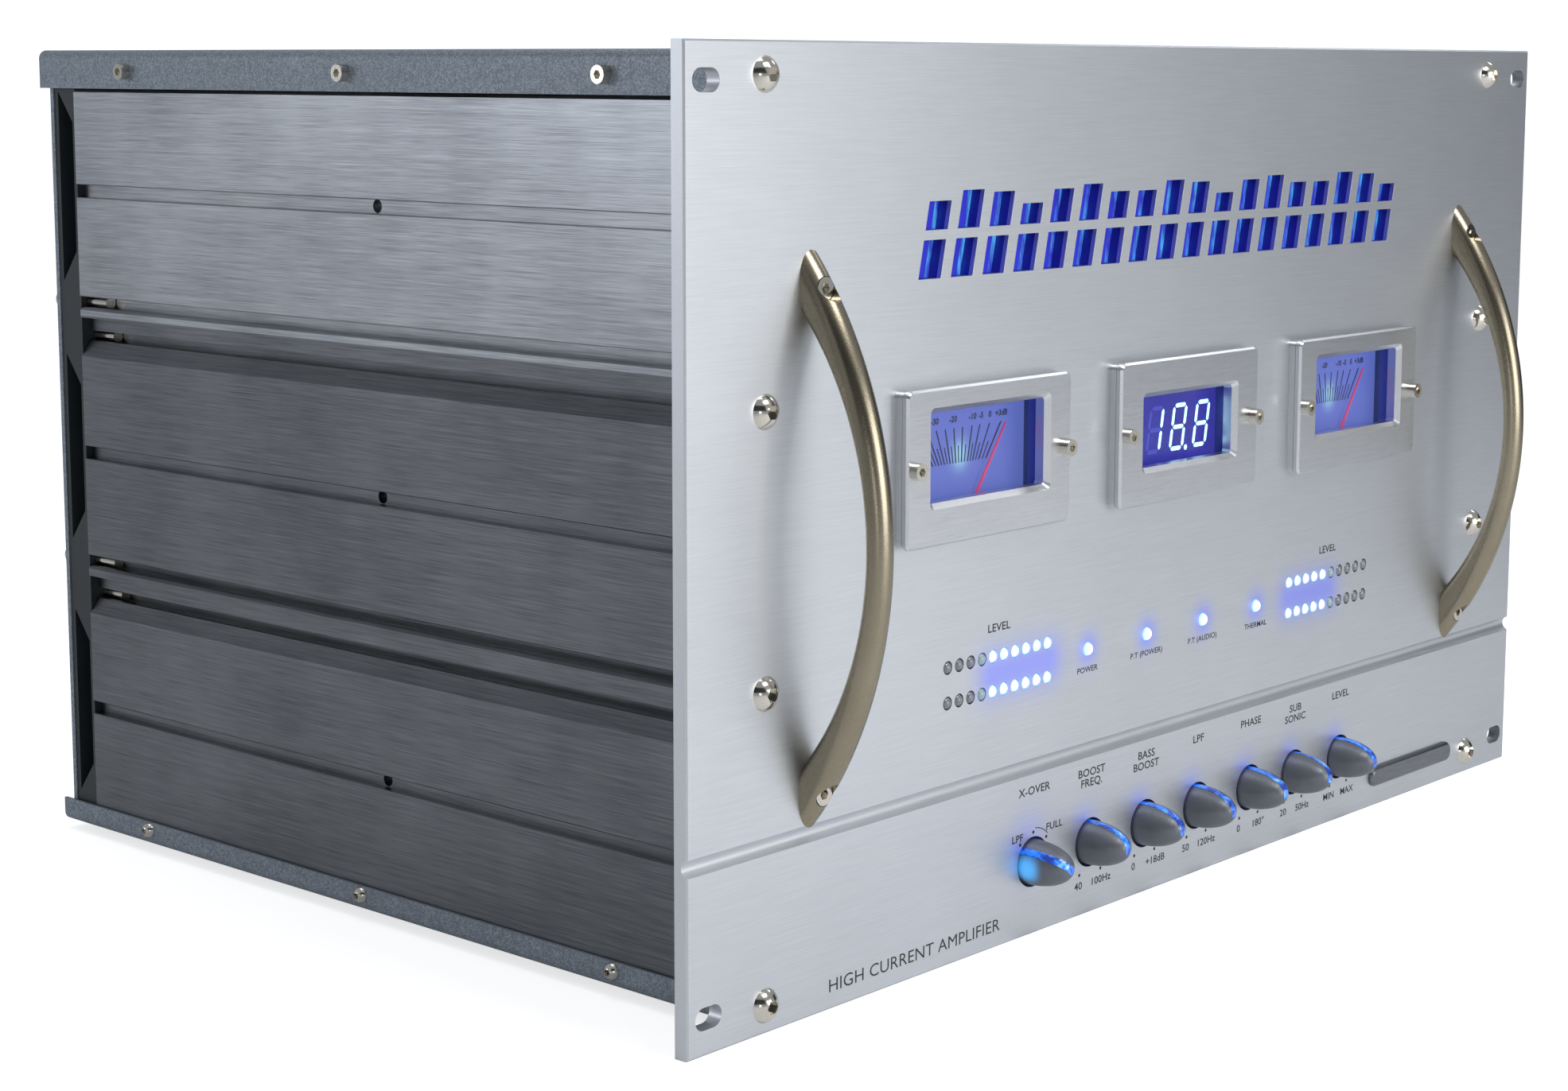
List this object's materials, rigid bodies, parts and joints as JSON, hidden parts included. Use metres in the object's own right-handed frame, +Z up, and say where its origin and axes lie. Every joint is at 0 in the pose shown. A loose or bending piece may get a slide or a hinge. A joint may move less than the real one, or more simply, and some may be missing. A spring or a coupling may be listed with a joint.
{
  "type": "car amplifier",
  "caption": "Rack-width car audio amplifier with needle meters, voltage display, level lamps, rotary controls, bow handles, heatsink sides and rear fans.",
  "frame": {"origin": "under the middle of the whole object, level with the front panel's lower edge", "axes": "+X to the right of someone facing the front panel, +Y from the front panel to the back, +Z up"},
  "size_m": [0.4826, 0.3892, 0.289],
  "materials": {
    "panel_silver": "fine bead-blasted, clear anodised",
    "heatsink_silver": "brushed along its length",
    "frame_silver": "satin, bright edges",
    "champagne": "satin champagne",
    "nickel_screw": "polished nickel",
    "cover_grey": "fine speckled paint",
    "knob_grey": "soft satin",
    "clear_blue": "clear, lit from behind",
    "window_clear": "clear",
    "dial_face": "backlit print",
    "dial_can": "dark blue",
    "needle_red": "satin",
    "movement": "plain",
    "display_dark": "dark, lit figures",
    "lit_blue": "edge-lit",
    "lamp_clear": "water clear",
    "circuit_green": "lacquered",
    "dark_plastic": "fine grain",
    "can_steel": "plain",
    "gold_plate": "polished, gold plated",
    "copper_wire": "enamelled wire",
    "black_sleeve": "shrunk sleeve"
  },
  "bodies": {
    "chassis": {"front_panel": "panel_silver", "front_rails": "frame_silver", "handle_left": "champagne", "handle_right": "champagne", "handle_screws": "nickel_screw", "panel_screws": "nickel_screw", "meter_bezel_left": "frame_silver", "display_bezel": "frame_silver", "meter_bezel_right": "frame_silver", "bezel_screws": "nickel_screw", "clear_windows": "window_clear", "meter_housings": "dial_can", "meter_dials": "dial_face", "meter_movements": "movement", "display_module": "display_dark", "light_panel": "lit_blue", "level_leds": "lamp_clear", "indicator_leds": "lamp_clear", "led_board": "circuit_green", "control_board": "circuit_green", "potentiometers": "can_steel", "badge": "frame_silver", "top_cover": "cover_grey", "bottom_cover": "cover_grey", "top_cover_screws": "nickel_screw", "bottom_cover_screws": "nickel_screw", "heatsinks_left": "heatsink_silver", "heatsinks_right": "heatsink_silver", "slot_nuts": "nickel_screw", "frame_screws": "nickel_screw", "rear_frames": "dark_plastic", "rear_panel": "cover_grey", "fan_frames": "dark_plastic", "terminal_bases": "dark_plastic", "wire_terminals": "gold_plate", "terminal_screws": "nickel_screw", "signal_jacks": "gold_plate", "amplifier_board": "circuit_green", "board_standoffs": "nickel_screw", "toroids": "copper_wire", "capacitors": "black_sleeve", "power_transistors": "dark_plastic"},
    "crossover_control": {"knob_crossover": "knob_grey", "core_crossover": "clear_blue"},
    "boost_freq_control": {"knob_boost_freq": "knob_grey", "core_boost_freq": "clear_blue"},
    "bass_boost_control": {"knob_bass_boost": "knob_grey", "core_bass_boost": "clear_blue"},
    "low_pass_control": {"knob_low_pass": "knob_grey", "core_low_pass": "clear_blue"},
    "phase_control": {"knob_phase": "knob_grey", "core_phase": "clear_blue"},
    "subsonic_control": {"knob_subsonic": "knob_grey", "core_subsonic": "clear_blue"},
    "level_control": {"knob_level": "knob_grey", "core_level": "clear_blue"},
    "left_pointer": {"meter_needle_left": "needle_red"},
    "right_pointer": {"meter_needle_right": "needle_red"},
    "left_rotor": {"fan_rotor_left": "dark_plastic"},
    "right_rotor": {"fan_rotor_right": "dark_plastic"}
  },
  "joints": [
    {"name": "crossover_turn", "type": "hinge", "parent": "chassis", "child": "crossover_control", "pos_m": [-0.0794, -0.1644, 0.0244], "axis": [0, 1, 0], "range_deg": [0, 95]},
    {"name": "boost_freq_turn", "type": "hinge", "parent": "chassis", "child": "boost_freq_control", "pos_m": [-0.0477, -0.1644, 0.0244], "axis": [0, 1, 0], "range_deg": [-144, 156]},
    {"name": "bass_boost_turn", "type": "hinge", "parent": "chassis", "child": "bass_boost_control", "pos_m": [-0.016, -0.1644, 0.0244], "axis": [0, 1, 0], "range_deg": [-144, 156]},
    {"name": "low_pass_turn", "type": "hinge", "parent": "chassis", "child": "low_pass_control", "pos_m": [0.0157, -0.1644, 0.0244], "axis": [0, 1, 0], "range_deg": [-144, 156]},
    {"name": "phase_turn", "type": "hinge", "parent": "chassis", "child": "phase_control", "pos_m": [0.0493, -0.1644, 0.0244], "axis": [0, 1, 0], "range_deg": [-144, 156]},
    {"name": "subsonic_turn", "type": "hinge", "parent": "chassis", "child": "subsonic_control", "pos_m": [0.0791, -0.1644, 0.0244], "axis": [0, 1, 0], "range_deg": [-158, 142]},
    {"name": "level_turn", "type": "hinge", "parent": "chassis", "child": "level_control", "pos_m": [0.1108, -0.1644, 0.0244], "axis": [0, 1, 0], "range_deg": [-144, 156]},
    {"name": "left_meter_swing", "type": "hinge", "parent": "chassis", "child": "left_pointer", "pos_m": [-0.1098, -0.1584, 0.139], "axis": [0, 1, 0], "range_deg": [-72, 4]},
    {"name": "right_meter_swing", "type": "hinge", "parent": "chassis", "child": "right_pointer", "pos_m": [0.1098, -0.1584, 0.139], "axis": [0, 1, 0], "range_deg": [-72, 4]},
    {"name": "left_fan_spin", "type": "hinge", "parent": "chassis", "child": "left_rotor", "pos_m": [-0.07, 0.1656, 0.196], "axis": [0, 1, 0], "continuous": true},
    {"name": "right_fan_spin", "type": "hinge", "parent": "chassis", "child": "right_rotor", "pos_m": [0.07, 0.1656, 0.196], "axis": [0, 1, 0], "continuous": true}
  ]
}
